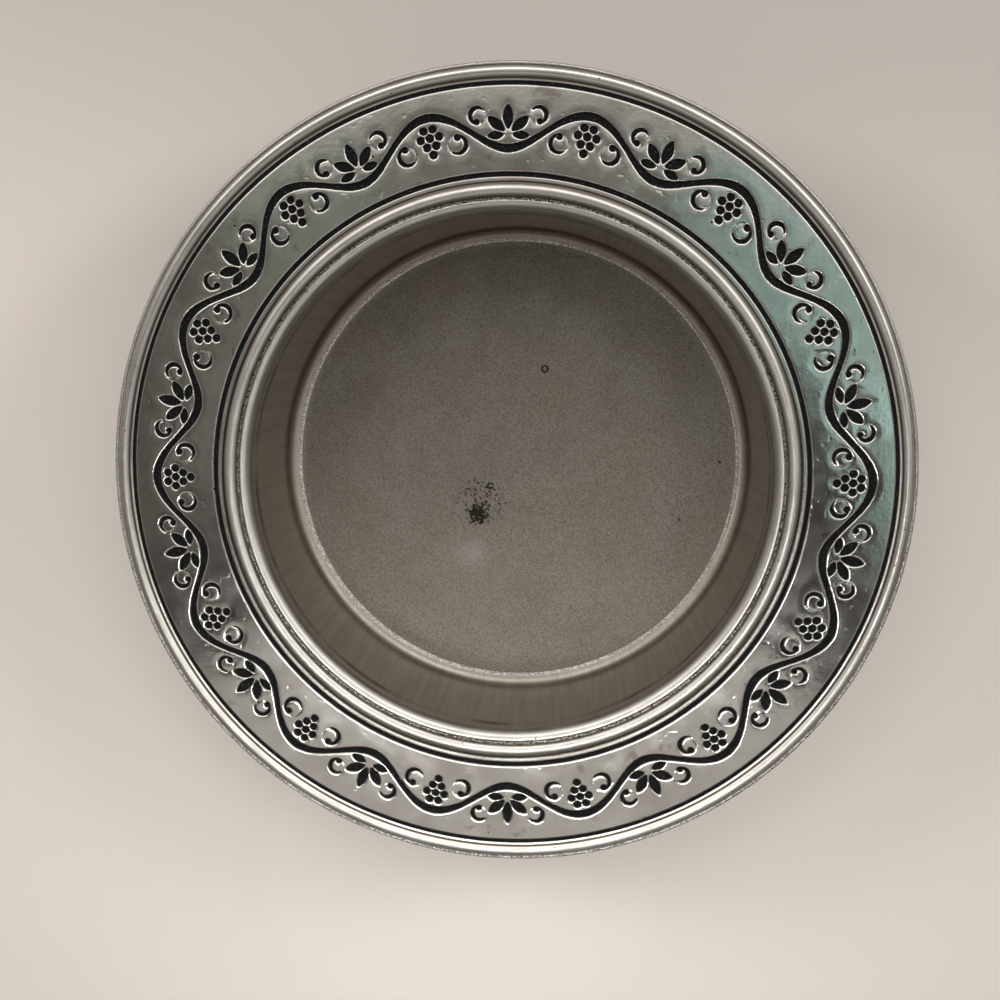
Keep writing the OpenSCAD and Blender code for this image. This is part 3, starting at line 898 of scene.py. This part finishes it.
def ceiling_places(tree, x, y, z, eye):
    """Where a direction meets the ceiling, about the point that a flat mirror at the band's height shows to the
    camera: the angle round that point, the way out from it, the way from it towards +Y, and the place."""
    above = eye.z - FILL_Z
    # Directions near the horizon and below it are lifted, so that each of them meets the ceiling
    lifted = add(tree, "Math", z, 0.03, **MOST)[0]
    across = add(tree, "Math", add(tree, "Math", x, lifted, **OVER)[0], eye.x / above, **PLUS)[0]
    along = add(tree, "Math", add(tree, "Math", y, lifted, **OVER)[0], eye.y / above, **PLUS)[0]
    place = add(tree, "CombineXYZ", across, along)[0]
    # The edges of the sectors wander by up to 9 degrees
    wander = add(tree, "TexNoise", place, 9.0, 3.0)[0]
    wandered = add(tree, "MapRange", wander, 0.25, 0.75, -9.0, 9.0)[0]
    turn = add(tree, "Math", along, across, operation="ARCTAN2")[0]
    turn = add(tree, "Math", turn, math.degrees(1), **TIMES)[0]
    turn = add(tree, "Math", turn, wandered, **PLUS)[0]
    spread = add(tree, "VectorMath", place, operation="LENGTH")[0]
    return turn, spread, along, place


def ceiling_tones(tree, turn, spread):
    """The plain ceiling, in sectors that blend into each other."""
    outer = add(tree, "MapRange", spread, 0.25, 0.33, **SMOOTH)[0]
    seen = linear("#4c4846")
    for start, end, soft_start, soft_end, inner_colour, outer_colour in CEILING_SECTORS:
        tint = add(tree, "Mix", outer, linear(inner_colour), linear(outer_colour), **COLOURS)[0]
        seen = add(tree, "Mix", within(tree, turn, start, end, soft_start, soft_end), seen, tint, **COLOURS)[0]
    # The angle jumps from -180 to 180 at -X, so the sector there is closed from its other side
    left = add(tree, "MapRange", turn, -172.0, -160.0, 1.0, 0.0, **SMOOTH)[0]
    return add(tree, "Mix", left, seen, linear("#6b6863"), **COLOURS)[0]


def roof_light(tree, seen, turn, spread, place):
    """Sky through a pane at +X, broken up by what stands before it, with a dark frame nearer the dish, and a
    bright strip beyond the band at +Y."""
    # The pane's upper and lower edges slant, so both are given by the way out plus a share of the angle
    low_slant = add(tree, "Math", add(tree, "Math", turn, 0.0022, **TIMES)[0], spread, **PLUS)[0]
    above_frame = add(tree, "MapRange", low_slant, 0.309, 0.321, **SMOOTH)[0]
    framed = add(tree, "Math", add(tree, "Math", 1.0, above_frame, **MINUS)[0],
                 within(tree, turn, -25, 32, 6, 6), **TIMES)[0]
    seen = add(tree, "Mix", framed, seen, linear("#463b3b"), **COLOURS)[0]
    high_slant = add(tree, "Math", add(tree, "Math", turn, 0.0037, **TIMES)[0], spread, **PLUS)[0]
    below_top = add(tree, "MapRange", high_slant, 0.411, 0.427, 1.0, 0.0, **SMOOTH)[0]
    sky = add(tree, "Math", above_frame, below_top, **TIMES)[0]
    sky = add(tree, "Math", sky, within(tree, turn, -2, 50, 8, 4), **TIMES)[0]
    patches = add(tree, "TexNoise", place, 26.0, 2.0)[0]
    broken = add(tree, "MapRange", patches, 0.42, 0.54, 0.1, 1.0, **SMOOTH)[0]
    sky = add(tree, "Math", sky, broken, **TIMES)[0]
    seen = add(tree, "Mix", sky, seen, glowing(linear("#cdf5ee"), 1.5), **COLOURS)[0]
    strip = add(tree, "Math", within(tree, turn, 28, 128, 10, 12), within(tree, spread, 0.336, 0.46, 0.006, 0.04),
                **TIMES)[0]
    return add(tree, "Mix", strip, seen, linear("#fffbf6"), **COLOURS)[0]


def wall_tones(tree, y, from_zenith):
    """The room's walls. The front one darkens towards the table, and the back one has a bright belt."""
    low = add(tree, "MapRange", from_zenith, 42.0, 56.0, **SMOOTH)[0]
    front_wall = add(tree, "Mix", low, linear("#d0ccc7"), linear("#4c4946"), **COLOURS)[0]
    facing_back = add(tree, "MapRange", y, 0.1, 0.5, **SMOOTH)[0]
    belt = add(tree, "Math", facing_back, within(tree, from_zenith, 40, 66, 4, 8), **TIMES)[0]
    back_wall = add(tree, "Mix", belt, linear("#98938f"), linear("#f4f0ec"), **COLOURS)[0]
    facing_front = add(tree, "MapRange", y, -0.45, 0.1, 1.0, 0.0, **SMOOTH)[0]
    return add(tree, "Mix", facing_front, back_wall, front_wall, **COLOURS)[0]


def room_light(stage, c):
    """The room that the metal mirrors, by direction. The polished band mirrors a ring of the ceiling, the well's
    floor the dim part straight above the dish, and the beads a window high towards +Y and the room's walls."""
    world = bpy.data.worlds.new("studio_room")
    world.use_nodes = True
    tree = world.node_tree
    tree.nodes.clear()
    x, y, z = add(tree, "SeparateXYZ", add(tree, "TexCoord")[0])
    turn, spread, along, place = ceiling_places(tree, x, y, z, Vector(stage.camera_at))
    seen = roof_light(tree, ceiling_tones(tree, turn, spread), turn, spread, place)

    # The part of the ceiling that the well's floor mirrors
    overhead = add(tree, "MapRange", spread, 0.12, 0.17, 1.0, 0.0, **SMOOTH)[0]
    forward = add(tree, "MapRange", along, -0.13, 0.13, stage.overhead_front, stage.overhead_back, **SMOOTH)[0]
    above_dish = add(tree, "Mix", 1.0, linear("#fffbf6"), forward, blend_type="MULTIPLY", **COLOURS)[0]
    seen = add(tree, "Mix", overhead, seen, above_dish, **COLOURS)[0]

    # Past the ceiling's edge come the walls
    from_zenith = add(tree, "Math", add(tree, "Math", z, operation="ARCCOSINE")[0], math.degrees(1), **TIMES)[0]
    past_ceiling = add(tree, "MapRange", spread, 0.42, 0.62, **SMOOTH)[0]
    seen = add(tree, "Mix", past_ceiling, seen, wall_tones(tree, y, from_zenith), **COLOURS)[0]

    # The window, by its angles round the dish from +X and down from the zenith
    compass = add(tree, "Math", add(tree, "Math", y, x, operation="ARCTAN2")[0], math.degrees(1), **TIMES)[0]
    window = add(tree, "Math", within(tree, compass, 8, 152, 12, 10), within(tree, from_zenith, 31, 46, 3, 5),
                 **TIMES)[0]
    seen = add(tree, "Mix", window, seen, glowing(c.window, stage.window_strength), **COLOURS)[0]

    # The camera sees the room past the table in the table's own colour
    shown = add(tree, "Mix", add(tree, "LightPath")[0], seen, c.table, **COLOURS)[0]
    add(tree, "OutputWorld", add(tree, "Background", shown, stage.room_strength)[0])
    return world


def painted_table(c):
    """Matt paint on a table top: no gloss, and painted light on it: a little paler towards the front and darker
    at the back as painted shade.
    """
    material, tree, shader = new_material("painted_table")
    x, y, _ = add(tree, "SeparateXYZ", in_mm(tree))
    slanted = add(tree, "Math", y, add(tree, "Math", x, 0.15, **TIMES)[0], **PLUS)[0]
    # Painted light: the table is paler towards the front
    near = add(tree, "MapRange", slanted, -120.0, -30.0, 1.0, 0.0, **SMOOTH)[0]
    tone = add(tree, "Mix", near, c.table, c.table_front_painted_light, **COLOURS)[0]
    # Painted shade: the table is darker at the back
    far = add(tree, "MapRange", slanted, 0.0, 110.0, **SMOOTH)[0]
    tone = add(tree, "Mix", far, tone, c.table_back_painted_shade, **COLOURS)[0]
    tree.links.new(tone, shader["Base Color"])
    shader["Roughness"].default_value = 0.7
    shader["Specular IOR Level"].default_value = 0.1
    return material


def add_table(scene, c):
    half = 3.0
    corners = [(-half, -half, 0), (half, -half, 0), (half, half, 0), (-half, half, 0)]
    mesh = bpy.data.meshes.new("table_top")
    mesh.from_pydata(corners, [], [(0, 1, 2, 3)])
    mesh.materials.append(painted_table(c))
    table = bpy.data.objects.new("table_top", mesh)
    scene.collection.objects.link(table)


def add_lamp(scene, name, place, power, size, spread=180):
    """Adds an area lamp that shines straight down. Spread is the angle that its grid lets out, in degrees."""
    lamp_data = bpy.data.lights.new(name, "AREA")
    lamp_data.shape = "RECTANGLE"
    lamp_data.size, lamp_data.size_y = size
    lamp_data.energy = power
    lamp_data.spread = math.radians(spread)
    lamp = bpy.data.objects.new(name, lamp_data)
    lamp.location = place
    lamp.visible_camera = False
    scene.collection.objects.link(lamp)
    return lamp


# Two lamps at the sides light the table and the satin metal
SIDE_LAMP_PLACES = (("left_lamp", (-0.5, 0.24, 0.36)), ("right_lamp", (0.5, 0.24, 0.36)))
SIDE_LAMP_SIZE = (0.18, 0.18)

# Small lamps in a half ring round the lens, at these angles. The beads at the dish's front mirror them, and the
# flat band doesn't. Their grids keep them out of the beads at its back
RING_TURNS = range(222, 331, 27)
RING_RADIUS = 34 * MM
RING_HEIGHT = 300 * MM
RING_LAMP_SIZE = (0.04, 0.046)
RING_LAMP_SPREAD = 56


def add_lamps(scene, stage):
    for name, place in SIDE_LAMP_PLACES:
        lamp = add_lamp(scene, name, place, stage.side_watts, SIDE_LAMP_SIZE)
        lamp.rotation_euler = (-lamp.location).to_track_quat("-Z", "Y").to_euler()
        lamp.visible_glossy = False

    # The ring is set about the point that a flat mirror at the band's height shows to the camera
    eye = Vector(stage.camera_at)
    grow = (RING_HEIGHT - FILL_Z) / (eye.z - FILL_Z)
    reach = RING_RADIUS * (1 + grow)
    for degrees in RING_TURNS:
        turn = math.radians(degrees)
        place = (reach * math.cos(turn) - eye.x * grow, reach * math.sin(turn) - eye.y * grow, RING_HEIGHT)
        lamp = add_lamp(scene, f"ring_lamp_{degrees}", place, stage.ring_watts, RING_LAMP_SIZE, RING_LAMP_SPREAD)
        lamp.rotation_euler.z = math.radians(degrees - 270)


def add_camera(scene, stage):
    """Adds the photograph's camera. Its picture's upper edge lies towards +Y."""
    camera_data = bpy.data.cameras.new("camera")
    camera_data.lens = stage.lens
    camera_data.sensor_width = stage.sensor
    camera_data.clip_start = 0.01
    camera = bpy.data.objects.new("camera", camera_data)
    eye, aim = Vector(stage.camera_at), Vector(stage.camera_aim)
    back = (eye - aim).normalized()
    right = Vector((0, 1, 0)).cross(back).normalized()
    axes = Matrix((right, back.cross(right), back)).transposed()
    camera.matrix_world = Matrix.Translation(eye) @ axes.to_4x4()
    scene.collection.objects.link(camera)
    scene.camera = camera


class COASTER_OT_stage(bpy.types.Operator):
    """Add the table top, the room, the lamps and the camera"""

    bl_idname = "coaster.stage"
    bl_label = "Stage"

    def execute(self, context):
        scene = context.scene
        add_table(scene, scene.coaster_colours)
        scene.world = room_light(scene.coaster_stage, scene.coaster_colours)
        add_lamps(scene, scene.coaster_stage)
        add_camera(scene, scene.coaster_stage)
        scene.view_settings.view_transform = "Standard"
        return {"FINISHED"}


class COASTER_PT_panel(bpy.types.Panel):
    """Sizes, colours and steps of the coaster"""

    bl_idname = "COASTER_PT_panel"
    bl_label = "Wine bottle coaster"
    bl_space_type = "VIEW_3D"
    bl_region_type = "UI"
    bl_category = "Coaster"

    def draw(self, context):
        for operator in STEPS:
            self.layout.operator(operator.bl_idname)
        for group in (context.scene.coaster_sizes, context.scene.coaster_colours, context.scene.coaster_stage):
            box = self.layout.box()
            for name in group.__annotations__:
                box.prop(group, name)


STEPS = (COASTER_OT_dish, COASTER_OT_filling, COASTER_OT_stage)
GROUPS = {"coaster_sizes": CoasterSizes, "coaster_colours": CoasterColours, "coaster_stage": CoasterStage}


def register():
    for made in (*GROUPS.values(), *STEPS, COASTER_PT_panel):
        bpy.utils.register_class(made)
    for name, group in GROUPS.items():
        setattr(bpy.types.Scene, name, PointerProperty(type=group))


def unregister():
    for name in GROUPS:
        delattr(bpy.types.Scene, name)
    for made in reversed((*GROUPS.values(), *STEPS, COASTER_PT_panel)):
        bpy.utils.unregister_class(made)


def main():
    register()
    for start_object in list(bpy.context.scene.objects):
        if start_object.name in ("Cube", "Light", "Camera"):
            bpy.data.objects.remove(start_object)
    bpy.ops.coaster.dish()
    bpy.ops.coaster.filling()
    bpy.ops.coaster.stage()


if __name__ == "__main__":
    main()
